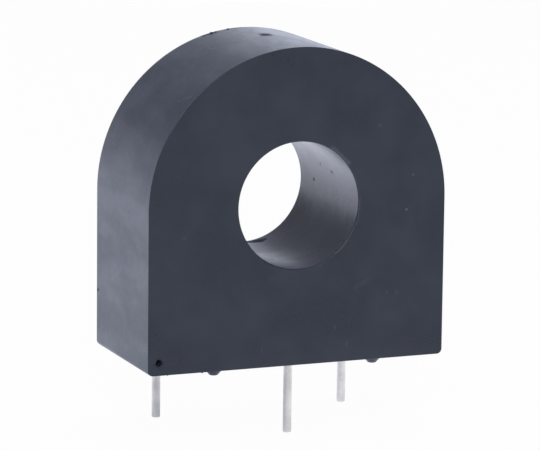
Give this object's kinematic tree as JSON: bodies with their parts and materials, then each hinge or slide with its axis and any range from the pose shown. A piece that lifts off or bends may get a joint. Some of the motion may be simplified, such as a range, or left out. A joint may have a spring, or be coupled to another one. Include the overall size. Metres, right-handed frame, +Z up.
{
  "type": "current transformer",
  "caption": "Arched, potted current transformer for a circuit board, with a plain round bore for the primary conductor and round solder pins below.",
  "frame": {"origin": "middle of the primary bore, on its axis and halfway between its two ends", "axes": "+Y along the bore from the closed front face to the potted back, +Z up and away from the circuit board, +X to the right seen from the front"},
  "size_m": [0.0234, 0.0114, 0.0292],
  "materials": {
    "case_plastic": "matt black moulded plastic with a faint cloudy sheen",
    "potting_resin": "semi-gloss cured black resin",
    "core_strip": "bright wound magnetic strip",
    "core_box_plastic": "natural moulded polyamide",
    "enamelled_copper": "enamelled copper wire",
    "insulating_tape": "thin polyester tape",
    "lead_tubing": "thin clear-white insulating tubing",
    "solder": "bright solder",
    "tinned_wire": "satin tinned copper wire"
  },
  "bodies": {
    "root": {"case": "case_plastic", "potting": "potting_resin", "core": "core_strip", "core_tray": "core_box_plastic", "core_lid": "core_box_plastic", "secondary_winding": "enamelled_copper", "winding_tape": "insulating_tape", "start_lead": "enamelled_copper", "finish_lead": "enamelled_copper", "start_tubing": "lead_tubing", "finish_tubing": "lead_tubing", "start_solder": "solder", "finish_solder": "solder", "start_pin": "tinned_wire", "finish_pin": "tinned_wire", "support_pin": "tinned_wire"}
  },
  "joints": []
}
